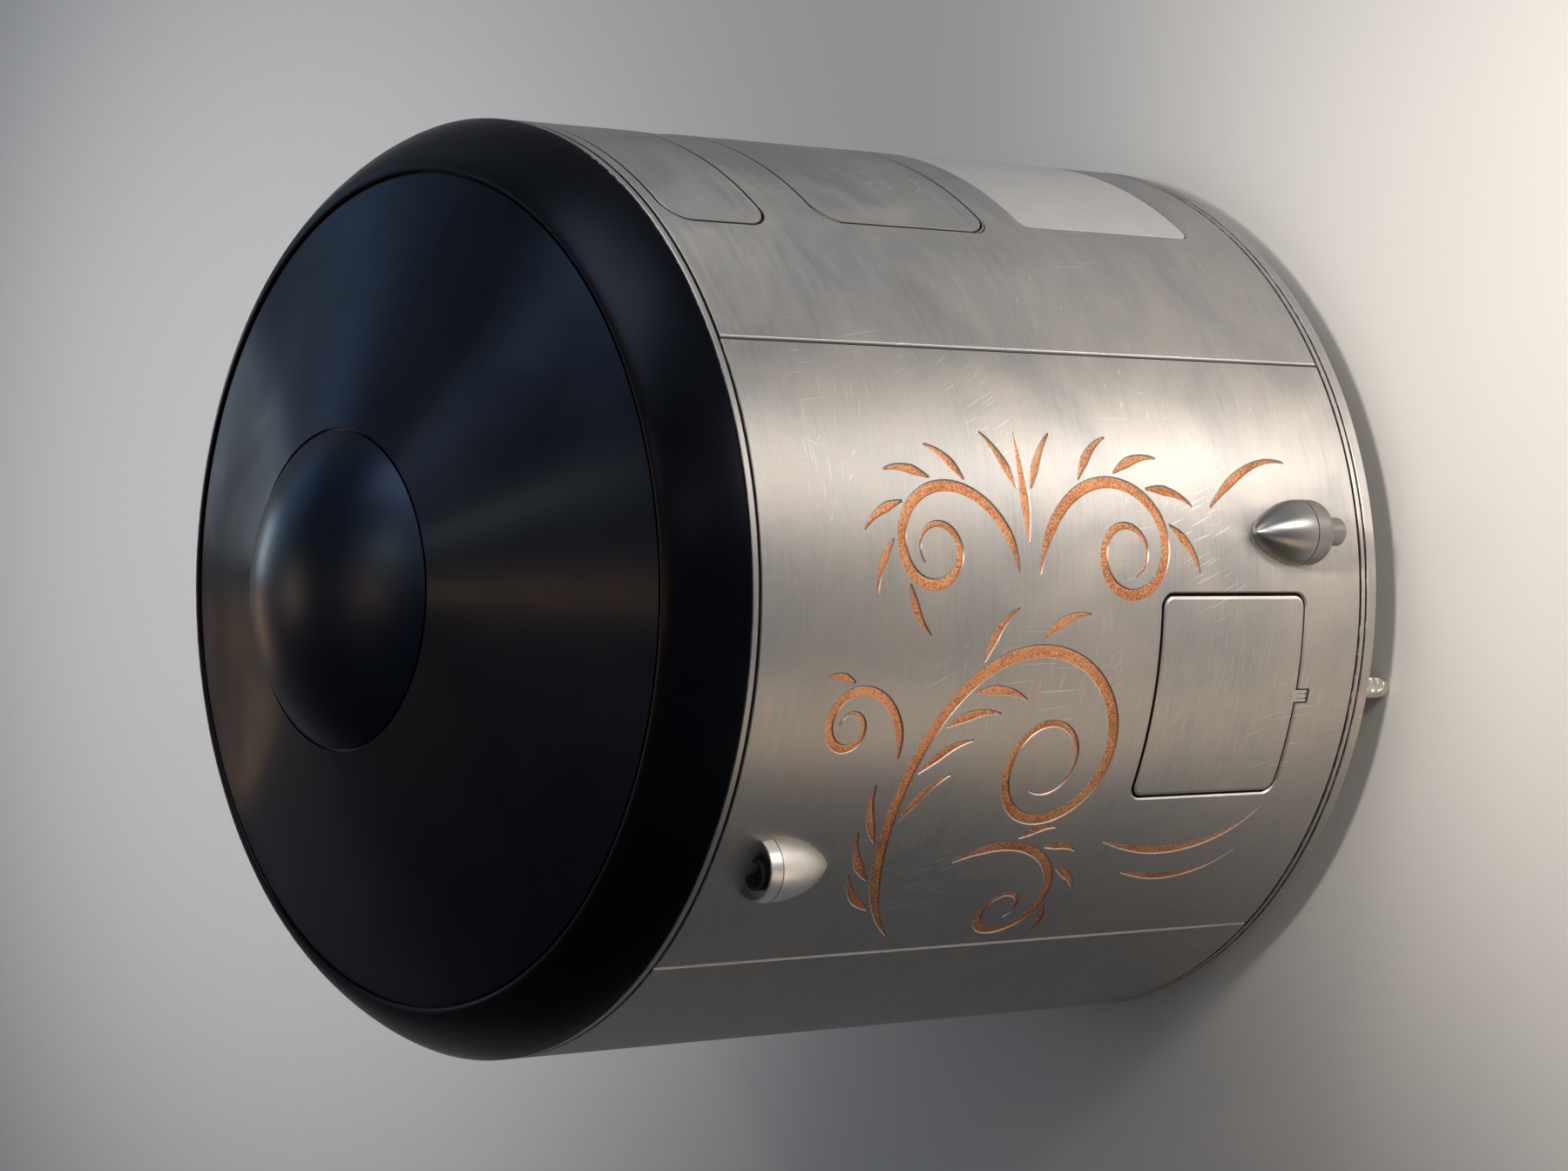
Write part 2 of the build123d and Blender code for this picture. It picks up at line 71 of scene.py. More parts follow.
# Long seams: the clock angle, the side that the lipped panel is on, the two panels, and the lip's
# profile as step and lift
upper_lip = [(0.0190, 0.001), (0.0155, 0.0), (0.0012, -0.0040), (0.0012, -0.012),
             (-0.0012, -0.012), (-0.0012, -0.004), (-0.0060, 0.001)]
lower_lip = [(0.0110, 0.001), (0.0102, 0.0), (0.0015, -0.0130), (-0.0010, -0.0130),
             (-0.0030, -0.0020), (-0.0090, 0.0), (-0.0120, 0.001)]
seam_lips = [
    (43.2, 1, ("port_panel", "top_panel"), upper_lip),
    (136.8, -1, ("starboard_panel", "top_panel"), upper_lip),
    (-35.9, -1, ("port_panel", "belly_panel"), lower_lip),
    (215.9, 1, ("starboard_panel", "belly_panel"), lower_lip),
]

# Studs on the aft rim: the profile from the foot down to the dome, whose bend has four guide points
# of radius and height, and the knurl with its bare ends and the length over which it deepens
stud_circle_r = 1.701
stud_clocks = (0, 120, 240)
stud_foot_r = 0.060
stud_foot_band = 0.006
stud_shank_r = 0.045
stud_flare_z = 0.168
stud_dome_z = 0.036
stud_dome_bend = [(0.045, 0.036), (0.045, 0.014), (0.036, 0), (0.012, 0)]
flare_steps = 9
shank_steps = 100
dome_steps = 16
knurls_round = 34
points_a_knurl = 6
knurl_pitch = 0.0083
knurl_depth = 0.0028
knurl_margin = 0.004
knurl_fade = 0.004

# Shading: edges sharper than these angles in degrees stay sharp. A face of the skin lies within the
# tolerance of the true round, or is a wide flat facet that leans and sinks no more than this
sharp_angle = 14
stud_sharp_angle = 40
skin_tolerance = 0.0004
facet_lean = 8
facet_sink = 0.0074
weld_distance = 0.00002

# The scroll inlaid beside the hatch, drawn on the unrolled skin: aft of the front ring, and up round
# the barrel. The copper is sunk, keeps a little play in its channel, and is flat over its middle
scroll_origin_z = front_z - 0.362
channel_depth = 0.008
channel_lip = 0.004
inlay_sink = 0.0045
inlay_play = 0.0003
inlay_edge_drop = 0.0006
inlay_flat = 0.4
leaf_gap = 0.018

# How a stroke is drawn: its fewest points, its points a metre, the share of the width left at its
# ends and the power by which it fills out
fewest_points = 24
points_a_metre = 48
stroke_tip = 0.03
stroke_fill = 0.75

# The share of a stroke's length over which it fills out at its start, and thins at its end
stem_ends = (0.10, 0.32)
loose_ends = (0.3, 0.6)
leaf_ends = (0.35, 0.6)

# Strokes: start aft, start up, heading in degrees, length, first bend, last bend in 1/m, width,
# lateness of the bend
great_stem = (0.72, -1.03, 140, 3.85, -1.30, -8.2, 0.044, 2.6)
lower_stem = (0.84, -0.66, 30, 1.50, -2.05, -15.5, 0.036, 2.2)
upper_aft_stem = (1.00, 0.48, 80, 1.95, -2.1, -11.0, 0.040, 1.7)
upper_front_stem = (0.90, 0.48, 98, 1.65, 2.3, 12.5, 0.038, 1.7)
small_front_stem = (0.40, -0.20, 92, 1.02, 2.8, 19.0, 0.032, 1.6)
loose_strokes = [
    (0.95, 0.60, 90, 0.42, 0.0, 0.0, 0.040, 1.0),
    (0.915, 0.80, 112, 0.26, 0.6, 3.0, 0.032, 1.0),
    (0.985, 0.80, 68, 0.26, -0.6, -3.0, 0.032, 1.0),
    (1.90, 0.74, 42, 0.50, -0.8, -4.2, 0.032, 2.0),
    (1.58, -0.60, -16, 0.86, 0.4, 2.4, 0.034, 1.0),
    (1.76, -0.76, -14, 0.60, 0.6, 2.8, 0.030, 1.0),
]

# Leaves: stem, first and last place along it, how many, side, lean, length, curl, width
leaf_rows = [
    (great_stem, 0.06, 0.15, 3, 1, 30, 0.27, 1.3, 0.034),
    (great_stem, 0.35, 0.42, 2, 1, 40, 0.26, 1.3, 0.034),
    (great_stem, 0.17, 0.33, 4, -1, 30, 0.27, -1.1, 0.034),
    (lower_stem, 0.20, 0.50, 4, 1, 38, 0.18, 1.2, 0.030),
    (upper_aft_stem, 0.22, 0.46, 4, 1, 38, 0.25, 1.2, 0.034),
    (upper_front_stem, 0.26, 0.60, 5, -1, 38, 0.22, 1.2, 0.032),
    (small_front_stem, 0.24, 0.40, 3, -1, 38, 0.14, 1.2, 0.026),
]

# Colours, linear
steel_warm = (0.565, 0.515, 0.458)
steel_cool = (0.405, 0.395, 0.39)
steel_streak = (0.66, 0.625, 0.58)
steel_shade = (0.30, 0.28, 0.255)
# The scratches' painted glint
scratch_glint_white = (1.0, 0.97, 0.93)
gap_shade_black = (0.03, 0.027, 0.025)
nose_blue = (0.017, 0.025, 0.042)
nose_black = (0.013, 0.018, 0.029)
# The shoulder's paint: a darker copy of the nose paint, painted shade
shaded_shoulder_blue = (0.0105, 0.0120, 0.0165)
shaded_shoulder_black = (0.0085, 0.0095, 0.0125)
enamel_grey = (0.44, 0.425, 0.41)
enamel_dust = (0.39, 0.375, 0.36)
enamel_rub = (0.28, 0.27, 0.26)
pod_bright = (0.80, 0.77, 0.73)
# The aft pods' steel: a darker copy of the pod steel, painted shade
pod_shaded_grey = (0.33, 0.315, 0.30)
stud_bright = (0.66, 0.62, 0.56)
machined_grey = (0.60, 0.58, 0.55)
soot_black = (0.008, 0.008, 0.009)
soot_grain = (0.03, 0.028, 0.027)
primer_grey = (0.36, 0.38, 0.34)
primer_light = (0.46, 0.47, 0.42)
copper_light = (0.82, 0.40, 0.20)
copper_dark = (0.40, 0.15, 0.065)
floor_grey = (0.64, 0.61, 0.575)

# Sets of scratches: angle in degrees, marks a metre along and across, line size, share of the skin
# left clear
scratch_sets = [
    (68, 1.6, 50.0, 0.09, 0.62),
    (66, 1.1, 44.0, 0.095, 0.615),
    (78, 0.8, 60.0, 0.105, 0.575),
    (32, 2.2, 22.0, 0.045, 0.580),
    (108, 1.4, 56.0, 0.100, 0.620),
    (4, 2.2, 80.0, 0.110, 0.585),
]
# How far the scratches' painted glint lightens the steel
scratch_glint_strength = 0.56

# Painted shade in the gaps, dark and not metallic: the depth below the skin where it starts on the hull
# and round the covers, how it fades in there, and the two lifts between which it fades out again
hull_gap_start = 0.0075
cover_gap_start = 0.0008
gap_fade = 0.002
gap_floor = (-0.021, -0.019)

# The studio round the capsule
studio_dark = (0.10, 0.09, 0.08)
studio_light = (0.56, 0.66, 0.80)
studio_strength = 0.45
floor_half = 400.0

# The camera at the photograph's view, with the nose to the left
camera_place = (2.934, -12.039, 11.647)
camera_turn = (-0.116, 51.471, -76.512)
camera_lens = 88.88
camera_reach = 1000.0


def closed_solid(points, ring_path=False):
    """A closed profile carried along a path: points[i, j] is corner j of the profile at step i.

    Gives the corners' places and the faces, turned outwards by the sign of the enclosed volume."""
    steps, corners = points.shape[:2]
    index = np.arange(steps * corners).reshape(steps, corners)
    here, there = (index, np.roll(index, -1, axis=0)) if ring_path else (index[:-1], index[1:])
    sides = [here, np.roll(here, -1, axis=1), np.roll(there, -1, axis=1), there]
    quads = np.stack(sides, axis=-1).reshape(-1, 4)
    caps = [] if ring_path else [index[0][::-1], index[-1]]
    places = points.reshape(-1, 3)
    a, b, c, d = (places[quads[:, k]] for k in range(4))
    inside_out = np.sum(np.cross(c - a, d - b) * (a + b + c + d)) < 0
    faces = [f[::-1].tolist() if inside_out else f.tolist() for f in [*quads, *caps]]
    return places, faces


def placed_piece(name, mesh):
    """An object at the origin that carries a mesh."""
    piece = bpy.data.objects.new(name, mesh)
    scene.collection.objects.link(piece)
    return piece


def joined_piece(name, solids):
    """One object out of several closed solids."""
    places = [corners for corners, _ in solids]
    starts = np.cumsum([0] + [len(corners) for corners in places])
    faces = [[v + start for v in face] for (_, own), start in zip(solids, starts) for face in own]
    mesh = bpy.data.meshes.new(name)
    mesh.from_pydata(np.concatenate(places), [], faces)
    mesh.update()
    return placed_piece(name, mesh)


def on_skin(aft, up, lift):
    """A point of the unrolled skin rolled back on the barrel: its angle is up divided by the hull's
    radius."""
    clock = up / hull_r
    r = hull_r + lift
    return np.stack([r * np.sin(clock), -r * np.cos(clock), scroll_origin_z - aft + 0 * r], axis=-1)


def stroke(aft, up, heading, length, first_bend, last_bend, width, lateness, ends):
    """A line whose bend runs from one value to another: its heading is the bend summed along its
    length, and its width is a power of how far it has filled out from the nearer end."""
    steps = max(fewest_points, int(length * points_a_metre))
    t = np.linspace(0, 1, steps)
    step = length / (steps - 1)
    bend = first_bend + (last_bend - first_bend) * t**lateness
    turned = np.concatenate([[0], np.cumsum((bend[1:] + bend[:-1]) / 2 * step)])
    course = radians(heading) + turned
    ahead = np.stack([np.cos(course), np.sin(course)], axis=-1)
    walked = np.cumsum((ahead[1:] + ahead[:-1]) / 2 * step, axis=0)
    line = np.array([aft, up]) + np.vstack([[0, 0], walked])
    point, tail = ends
    filled = np.clip(np.minimum(t / point, (1 - t) / tail), stroke_tip, 1)
    return {"line": line, "course": course, "half": width / 2 * filled**stroke_fill}


def leaves(stem, first, last, count, side, lean, length, curl, width):
    """Short strokes that leave one side of a stem at even places and curl over."""
    rows = []
    for k in range(count):
        place = first + (last - first) * k / (count - 1)
        at = round(place * (len(stem["line"]) - 1))
        course = stem["course"][at]
        outward = side * np.array([-np.sin(course), np.cos(course)])
        aft, up = stem["line"][at] + outward * (stem["half"][at] + leaf_gap)
        heading = degrees(course) + side * lean
        bend = -side * curl / length
        rows.append(stroke(aft, up, heading, length, bend / 4, bend, width, 1.0, leaf_ends))
    return rows


def stroke_section(line, corners):
    """A profile carried along a stroke: each corner is a share of the half width, a step across and
    a lift."""
    across = np.stack([-np.sin(line["course"]), np.cos(line["course"])], axis=-1)
    share, extra, lift = np.array(corners).T
    out = share * line["half"][:, None] + extra
    spot = line["line"][:, None] + across[:, None] * out[..., None]
    return on_skin(spot[..., 0], spot[..., 1], np.broadcast_to(lift, out.shape))


def scroll_strokes():
    """Every stroke of the scroll: the stems, the loose strokes and the rows of leaves."""
    stems = {row: stroke(*row, stem_ends) for row in
             (great_stem, lower_stem, upper_aft_stem, upper_front_stem, small_front_stem)}
    lines = [*stems.values()] + [stroke(*row, loose_ends) for row in loose_strokes]
    for stem, *row in leaf_rows:
        lines += leaves(stems[stem], *row)
    return lines


def rounded_outline(half_w, half_h, corner, offset):
    """A rounded rectangle moved out by an offset: four arcs of radius corner + offset, joined by
    straight sides."""
    arc_steps, side_steps = 14, 44
    centres = np.array([(1, 1), (-1, 1), (-1, -1), (1, -1)]) * [half_w - corner, half_h - corner]
    runs = []
    for quarter, centre in enumerate(centres):
        a = (quarter + np.linspace(0, 1, arc_steps)) * pi / 2
        runs.append(centre + (corner + offset) * np.stack([np.cos(a), np.sin(a)], axis=-1))
    loop = []
    for run, following in zip(runs, runs[1:] + runs[:1]):
        share = np.linspace(0, 1, side_steps)[1:-1, None]
        loop += [run, run[-1] + share * (following[0] - run[-1])]
    return np.concatenate(loop)


def edge_cutter(low, high, facing, corner, profile):
    """A triangle carried round a plate's outline on the barrel, to take the sharp edge off. Each of
    its corners keeps its own lift above the skin's round."""
    side = 1 - facing
    half_w = (high[side] - low[side]) / 2
    half_h = (high[2] - low[2]) / 2
    middle_z = (high[2] + low[2]) / 2
    sections = []
    for offset, lift in profile:
        across, along = rounded_outline(half_w, half_h, corner, offset).T
        out = np.sqrt((hull_r + lift) ** 2 - across**2)
        x, y = (across, -out) if facing == 1 else (out, across)
        sections.append(np.stack([x, y, middle_z + along], axis=-1))
    return closed_solid(np.stack(sections, axis=1), ring_path=True)


def plate_cutters(plate, facing, gap, corner, bevel_width, bevel_depth, opening_bevel):
    """Two cutters for a flush plate: one for its own edge, one for the edge of the opening round it."""
    low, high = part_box(plate)
    air = gap_reach * gap
    slope = bevel_depth / bevel_width
    own = [(-bevel_width - cutter_rise / slope, cutter_rise), (air, cutter_rise),
           (air, -bevel_depth - air * slope)]
    over = opening_bevel + cutter_rise
    opening = [(gap + over, cutter_rise), (gap - air, cutter_rise), (gap - air, -opening_bevel - air)]
    return (edge_cutter(low, high, facing, corner, own),
            edge_cutter(low, high, facing, corner, opening))


def seam_cutter(clock, side, lip):
    """The profile of a seam's lip carried straight along the barrel, a little past the panel's two
    ends."""
    low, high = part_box("port_panel")
    z = np.array([low.z - seam_overrun, high.z + seam_overrun])
    step, lift = np.array(lip).T
    angle = radians(clock) + side * step / hull_r
    r = hull_r + lift
    place = np.stack([r * np.sin(angle), -r * np.cos(angle)], axis=-1)
    rows = np.broadcast_to(place, (2, *place.shape))
    heights = np.broadcast_to(z[:, None, None], (2, len(lip), 1))
    return closed_solid(np.dstack([rows, heights]))


def stud_outline():
    """Heights and radii of a stud from its foot down: an arc flare, a straight shank and a rounded
    end that follows a cubic bend."""
    flare = np.linspace(0, pi / 2, flare_steps)
    flare_drop = aft_z - stud_foot_band - stud_flare_z
    flare_z = stud_flare_z + flare_drop * (1 - np.sin(flare))
    flare_r = stud_shank_r + (stud_foot_r - stud_shank_r) * (1 - np.cos(pi / 2 - flare))
    shank_z = np.linspace(stud_flare_z, stud_dome_z, shank_steps)[1:]
    t = np.linspace(0, 1, dome_steps)[1:, None]
    a, b, c, d = np.array(stud_dome_bend)
    dome = (1 - t) ** 3 * a + 3 * t * (1 - t) ** 2 * b + 3 * t**2 * (1 - t) * c + t**3 * d
    z = np.concatenate([[aft_z], flare_z, shank_z, dome[:, 1]])
    r = np.concatenate([[stud_foot_r], flare_r, np.full(len(shank_z), stud_shank_r), dome[:, 0]])
    return z, r


def knurled_stud(name, clock):
    """A turned stud: its radius is that of its outline, less a diamond knurl on the shank.

    The knurl is the smaller of two ridges that wind opposite ways round the shank."""
    z, r = stud_outline()
    turn = np.linspace(0, 2 * pi, knurls_round * points_a_knurl, endpoint=False)
    along = 2 * pi * (z[:, None] - stud_dome_z) / knurl_pitch
    ridge_a = np.abs(np.sin((knurls_round * turn + along) / 2))
    ridge_b = np.abs(np.sin((knurls_round * turn - along) / 2))
    inside = np.minimum(z - stud_dome_z - knurl_margin, stud_flare_z - knurl_margin - z)
    band = np.clip(inside / knurl_fade, 0, 1)[:, None]
    radius = r[:, None] - band * knurl_depth * (1 - np.minimum(ridge_a, ridge_b)) ** 2
    x = stud_circle_r * np.sin(radians(clock)) + radius * np.cos(turn)
    y = -stud_circle_r * np.cos(radians(clock)) + radius * np.sin(turn)
    points = np.stack([x, y, np.broadcast_to(z[:, None], x.shape)], axis=-1)
    index = np.arange(x.size).reshape(x.shape)
    after = np.roll(index, -1, axis=1)
    quads = np.stack([index[:-1], index[1:], after[1:], after[:-1]], axis=-1).reshape(-1, 4)
    caps = [index[0].tolist(), index[-1][::-1].tolist()]
    mesh = bpy.data.meshes.new(name)
    mesh.from_pydata(points.reshape(-1, 3), [], quads.tolist() + caps)
    mesh.shade_smooth()
    mesh.set_sharp_from_angle(angle=radians(stud_sharp_angle))
    return placed_piece(name, mesh)


def rows_of(items, field, width=1, kind="f"):
    """One field of all the items of a mesh, with a row for each item."""
    values = np.empty(len(items) * width, kind)
    items.foreach_get(field, values)
    return values.reshape(-1, width) if width > 1 else values


def give_barrel_normals(mesh):
    """Smooth shading: exactly radial on faces that lie on the barrel's inner or outer skin, soft
    elsewhere.

    A face lies on the skin if all its corners do, or if it faces straight out from just under it, as
    a wide flat facet does. The attribute on_skin is 1 on those faces."""
    mesh.shade_smooth()
    mesh.set_sharp_from_angle(angle=radians(sharp_angle))
    normals = rows_of(mesh.corner_normals, "vector", 3)
    corners = rows_of(mesh.loops, "vertex_index", kind="i")
    places = rows_of(mesh.vertices, "co", 3)
    sizes = rows_of(mesh.polygons, "loop_total", kind="i")
    facing = rows_of(mesh.polygons, "normal", 3)
    middle = rows_of(mesh.polygons, "center", 3)
    starts = np.concatenate([[0], np.cumsum(sizes)[:-1]])
    radius = np.hypot(places[:, 0], places[:, 1])
    radial = np.column_stack([places[:, :2] / radius[:, None], np.zeros(len(places))])
    middle_r = np.hypot(middle[:, 0], middle[:, 1])
    straight_out = np.sum(facing[:, :2] * middle[:, :2], axis=1) / middle_r
    skin_faces = np.zeros(len(sizes), "f")
    for skin_r, sign in ((hull_r, 1.0), (hull_r - hull_wall, -1.0)):
        near = np.abs(radius - skin_r) < skin_tolerance
        whole = np.minimum.reduceat(near[corners].astype("i"), starts).astype(bool)
        level = sign * straight_out > np.cos(radians(facet_lean))
        whole |= level & (np.abs(middle_r - skin_r) < facet_sink)
        skin_faces[whole] = 1
        on_face = np.repeat(whole, sizes)
        normals[on_face] = sign * radial[corners][on_face]
    mesh.attributes.new("on_skin", "FLOAT", "FACE").data.foreach_set("value", skin_faces)
    mesh.normals_split_custom_set(normals.tolist())


def cut_copy(node_name, name, solids):
    """A copy of a CAD piece with solids taken out of it, which then stands for that piece."""
    mesh = frame["nodes"][node_name].data.copy()
    work = bmesh.new()
    work.from_mesh(mesh)
    bmesh.ops.remove_doubles(work, verts=work.verts, dist=weld_distance)
    work.to_mesh(mesh)
    work.free()
    piece = placed_piece(name, mesh)
    cutter = joined_piece(name + "_cutter", solids)
    knife = piece.modifiers.new("cut", "BOOLEAN")
    knife.operation = "DIFFERENCE"
    knife.solver = "EXACT"
    knife.object = cutter
    evaluated = piece.evaluated_get(bpy.context.evaluated_depsgraph_get())
    result = bpy.data.meshes.new_from_object(evaluated)
    piece.modifiers.clear()
    cut_mesh = bpy.data.meshes.new(name)
    faces = [tuple(face.vertices) for face in result.polygons]
    cut_mesh.from_pydata(rows_of(result.vertices, "co", 3), [], faces)
    cut_mesh.update()
    give_barrel_normals(cut_mesh)
    piece.data = cut_mesh
    cutter_mesh = cutter.data
    bpy.data.objects.remove(cutter)
    for spare in (mesh, result, cutter_mesh):
        bpy.data.meshes.remove(spare)
    return piece


class Finish:
    """A Principled material, with short calls for the pattern nodes behind it."""

    def __init__(self, name, colour, metallic, roughness, **sockets):
        self.material = bpy.data.materials.new(name)
        self.material.use_nodes = True
        self.tree = self.material.node_tree
        self.shader = self.tree.nodes["Principled BSDF"]
        self.set("Base Color", (*colour, 1.0))
        self.set("Metallic", metallic)
        self.set("Roughness", roughness)
        for socket, value in sockets.items():
            self.set(socket, value)

    def give(self, socket, value):
        """Gives a socket a plain value or another node's output."""
        if isinstance(value, bpy.types.NodeSocket):
            self.tree.links.new(value, socket)
        else:
            socket.default_value = value

    def set(self, socket, value):
        """Gives one of the shader's sockets a value."""
        self.give(self.shader.inputs[socket], value)

    def node(self, kind, output, inputs, **settings):
        """Adds a node, gives its inputs values or links, and returns one of its outputs."""
        node = self.tree.nodes.new(kind)
        for key, value in settings.items():
            setattr(node, key, value)
        for key, value in inputs.items():
            self.give(node.inputs[key], value)
        return node.outputs[output]

    def place(self, scale, turn=(0, 0, 0)):
        """Object coordinates, turned and then stretched by three scales."""
        where = self.node("ShaderNodeTexCoord", "Object", {})
        if any(turn):
            turned = {"Vector": where, "Rotation": [radians(a) for a in turn]}
            where = self.node("ShaderNodeMapping", "Vector", turned)
        return self.node("ShaderNodeMapping", "Vector", {"Vector": where, "Scale": scale})

    def noise(self, scale, turn=(0, 0, 0), detail=4.0, rough=0.5, warp=0.0):
        """Stretched noise between 0 and 1."""
        inputs = {"Vector": self.place(scale, turn), "Scale": 1.0, "Detail": detail,
                  "Roughness": rough, "Distortion": warp}
        return self.node("ShaderNodeTexNoise", "Fac", inputs)

    def span(self, value, low, high, to_low=0.0, to_high=1.0):
        """Maps a value from one range to another and holds it there."""
        inputs = {"Value": value, "From Min": low, "From Max": high, "To Min": to_low, "To Max": to_high}
        return self.node("ShaderNodeMapRange", "Result", inputs)

    def math(self, operation, a, b=0.0):
        """Joins two values by one operation."""
        return self.node("ShaderNodeMath", 0, {0: a, 1: b}, operation=operation)

    def vector_math(self, operation, a, b):
        """Joins two vectors by one operation."""
        return self.node("ShaderNodeVectorMath", 0, {0: a, 1: b}, operation=operation)

    def blend(self, amount, a, b):
        """A colour between two colours."""
        colour = [(*c, 1.0) if isinstance(c, tuple) else c for c in (a, b)]
        inputs = {0: amount, 6: colour[0], 7: colour[1]}
        return self.node("ShaderNodeMix", 2, inputs, data_type="RGBA")

    def unrolled(self):
        """The barrel's skin laid flat: the way round it in metres, then the height along its axis."""
        axes = self.tree.nodes.new("ShaderNodeSeparateXYZ")
        self.tree.links.new(self.place((1, 1, 1)), axes.inputs[0])
        back = self.math("MULTIPLY", axes.outputs["Y"], -1.0)
        clock = self.math("ARCTAN2", axes.outputs["X"], back)
        round_it = self.math("MULTIPLY", clock, hull_r)
        return self.node("ShaderNodeCombineXYZ", 0, {0: round_it, 1: axes.outputs["Z"]})

    def axis_distance(self):
        """How far a point is from the barrel's axis."""
        flat = self.node("ShaderNodeTexCoord", "Object", {})
        flat = self.vector_math("MULTIPLY", flat, (1, 1, 0))
        return self.node("ShaderNodeVectorMath", "Value", {0: flat}, operation="LENGTH")

    def scratches(self, skin, angle, along, across, size, patch):
        """Fine scratches: points strewn on the skin, each drawn out to a thin line at one angle, on
        a skin that is bent a little so that the lines aren't quite straight."""
        bent = self.noise((0.9, 0.9, 0.9), detail=1.0)
        shifted = self.vector_math("ADD", skin, self.math("MULTIPLY", bent, 0.35))
        turned = {"Vector": shifted, "Rotation": (0, 0, radians(angle))}
        lain = self.node("ShaderNodeMapping", "Vector", turned)
        stretched = self.node("ShaderNodeMapping", "Vector", {"Vector": lain, "Scale": (along, across, 1)})
        spots = {"Vector": stretched, "Scale": 1.0, "Randomness": 1.0}
        away = self.node("ShaderNodeTexVoronoi", "Distance", spots, voronoi_dimensions="2D")
        line = self.span(away, size * 0.4, size, 1.0, 0.0)
        place = self.span(self.noise((1.3, 1.3, 1.3), (angle, 20, 0), detail=2.0), patch, patch + 0.06)
        return self.math("MULTIPLY", line, place)

    def hairlines(self, scale, turn, width, presence):
        """Thin long scratches: the level line of a stretched noise, kept where a second noise is
        high."""
        level = self.math("ABSOLUTE", self.math("SUBTRACT", self.noise(scale, turn, detail=1.0), 0.5))
        line = self.span(level, 0.0, width, 1.0, 0.0)
        patch = self.span(self.noise((1.7, 1.7, 1.7), turn, detail=2.0), presence, presence + 0.08)
        return self.math("MULTIPLY", line, patch)

    def gleam_along(self, direction, parts=(1, 1, 1)):
        """Stretches the highlights along a direction of the piece, across its brush or lathe marks."""
        kept = self.vector_math("MULTIPLY", direction, parts)
        turned = self.node("ShaderNodeVectorTransform", 0, {0: kept}, vector_type="VECTOR",
                           convert_from="OBJECT", convert_to="WORLD")
        self.set("Tangent", turned)

    def bump(self, height, strength, distance):
        """Raises the shading normal by a height pattern."""
        inputs = {"Height": height, "Strength": strength, "Distance": distance}
        self.set("Normal", self.node("ShaderNodeBump", "Normal", inputs))


def gap_shade_mask(steel, gap_start):
    """1 where the painted shade of the gaps shows: between two depths below the skin, and not on the
    skin's faces.
    """
    outward = steel.math("SUBTRACT", steel.axis_distance(), hull_r)
    below = steel.span(outward, -gap_start - gap_fade, -gap_start, 1.0, 0.0)
    above = steel.span(outward, *gap_floor)
    skin_face = steel.node("ShaderNodeAttribute", "Fac", {}, attribute_name="on_skin")
    off_skin = steel.math("SUBTRACT", 1.0, skin_face)
    return steel.math("MULTIPLY", steel.math("MULTIPLY", below, above), off_skin)


def brushed_hull_steel(name, gap_start):
    """Stainless steel brushed around the barrel, with clouds of handling marks and clusters of
    scratches, painted near white as their glint.

    Painted shade darkens the gaps: it starts at a depth below the skin, and ends before the inner face of
    the thinnest plate. Faces of the skin take none, however far a flat one sinks below the true round."""
    steel = Finish(name, steel_warm, 1.0, 0.5, Anisotropic=0.8)
    steel.gleam_along((0, 0, 1))
    clouds = steel.noise((2.1, 2.1, 1.8), detail=7.0, rough=0.6, warp=0.8)
    bands = steel.noise((1.2, 1.2, 26.0), detail=4.0, rough=0.6)
    strokes = steel.noise((5.0, 5.0, 130.0), detail=3.0, rough=0.65)
    brushing = steel.math("ADD", steel.math("MULTIPLY", bands, 0.4), steel.math("MULTIPLY", strokes, 0.6))
    skin = steel.unrolled()
    marks = steel.scratches(skin, *scratch_sets[0])
    for row in scratch_sets[1:]:
        marks = steel.math("MAXIMUM", marks, steel.scratches(skin, *row))
    tint = steel.blend(steel.span(clouds, 0.34, 0.66), steel_cool, steel_warm)
    streaked = steel.blend(steel.span(brushing, 0.34, 0.66, 0.0, 0.34), tint, steel_streak)
    shaded = steel.blend(steel.span(strokes, 0.30, 0.50, 0.15, 0.0), streaked, steel_shade)
    # Scratches painted near white: real marks, with their glint painted in
    scratched_with_glint = steel.blend(steel.math("MULTIPLY", marks, scratch_glint_strength), shaded, scratch_glint_white)
    # Painted shade in the gaps: dark colour, and no metal, where the grooves are
    gap_shade = gap_shade_mask(steel, gap_start)
    steel.set("Base Color", steel.blend(gap_shade, scratched_with_glint, gap_shade_black))
    steel.set("Metallic", steel.span(gap_shade, 0.0, 1.0, 1.0, 0.0))
    cloud_rough = steel.span(clouds, 0.3, 0.7, 0.42, 0.56)
    brush_rough = steel.span(brushing, 0.3, 0.7, -0.06, 0.06)
    steel.set("Roughness", steel.math("ADD", cloud_rough, brush_rough))
    steel.bump(brushing, 0.16, 0.0015)
    return steel.material


def nose_paint(name, gleam, light, dark):
    """Spun blue-black metal with slow clouding, whose gleam runs out from the axis."""
    paint = Finish(name, light, 1.0, 0.42, Anisotropic=gleam)
    paint.gleam_along(paint.node("ShaderNodeTexCoord", "Object", {}), (1, 1, 0))
    clouds = paint.noise((1.3, 1.3, 1.3), detail=5.0, rough=0.55, warp=0.3)
    specks = paint.noise((90.0, 90.0, 90.0), detail=2.0)
    paint.set("Base Color", paint.blend(paint.span(clouds, 0.3, 0.7), dark, light))
    paint.set("Roughness", paint.span(clouds, 0.3, 0.7, 0.26, 0.42))
    paint.bump(specks, 0.06, 0.001)
    return paint.material


